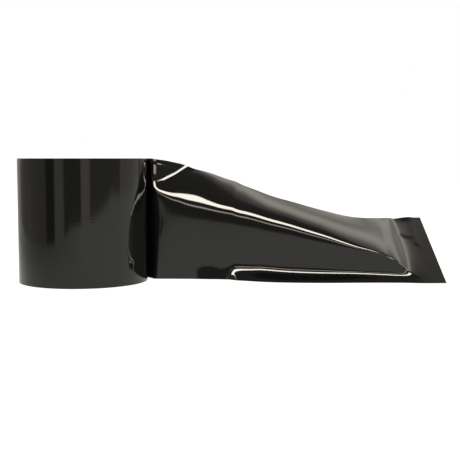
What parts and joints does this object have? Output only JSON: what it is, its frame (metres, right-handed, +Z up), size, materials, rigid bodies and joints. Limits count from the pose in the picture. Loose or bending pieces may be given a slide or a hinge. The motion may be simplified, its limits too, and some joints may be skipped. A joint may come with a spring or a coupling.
{
  "type": "roll of sign vinyl",
  "caption": "Narrow roll of gloss black sign vinyl standing on its end, with a free tail led off it and leaning back.",
  "frame": {"origin": "under the middle of the whole object's box, on the surface that the roll stands on", "axes": "+Z up along the roll's axis, +X along the tail away from the roll, +Y towards the back, where the tail leans"},
  "size_m": [0.5286, 0.1848, 0.1524],
  "materials": {
    "film": "high gloss black calendered film",
    "liner": "gloss black film release liner",
    "adhesive": "grey-black pressure-sensitive adhesive",
    "board": "raw spiral-wound paperboard",
    "ply": "kraft paper ply with a spiral butt joint",
    "tape": "crepe paper tape"
  },
  "bodies": {
    "roll": {"core_inner_ply": "ply", "core_board": "board", "core_outer_ply": "ply", "starter_tape": "tape", "wound_liner": "liner", "wound_adhesive": "adhesive", "wound_film": "film", "outer_turn_liner": "liner", "outer_turn_adhesive": "adhesive", "outer_turn_film": "film"},
    "take_off": {"take_off_liner": "liner", "take_off_adhesive": "adhesive", "take_off_film": "film"},
    "lead": {"lead_liner": "liner", "lead_adhesive": "adhesive", "lead_film": "film"},
    "tail": {"tail_liner": "liner", "tail_adhesive": "adhesive", "tail_film": "film"},
    "liner_end": {"liner_peel_tab": "liner"}
  },
  "joints": [
    {"name": "web_unwind", "type": "hinge", "parent": "roll", "child": "take_off", "pos_m": [-0.18471, -0.01273, 0], "axis": [0, 0, 1], "range_deg": [0, 43]},
    {"name": "web_payout", "type": "slide", "parent": "take_off", "child": "lead", "axis": [0.5186, -0.855, 0], "range_m": [0, 0.0605]},
    {"name": "tail_swing", "type": "hinge", "parent": "lead", "child": "tail", "pos_m": [-0.09554, -0.00005, 0], "axis": [0, 0, 1], "range_deg": [-30, 24]},
    {"name": "liner_peel", "type": "hinge", "parent": "tail", "child": "liner_end", "pos_m": [0.25215, -0.04309, 0.00015], "axis": [0.0232, -0.882, -0.4708], "range_deg": [0, 120]}
  ],
  "couplings": [
    {"joint": "web_payout", "follows": "web_unwind", "m_per_rad": 0.08}
  ]
}
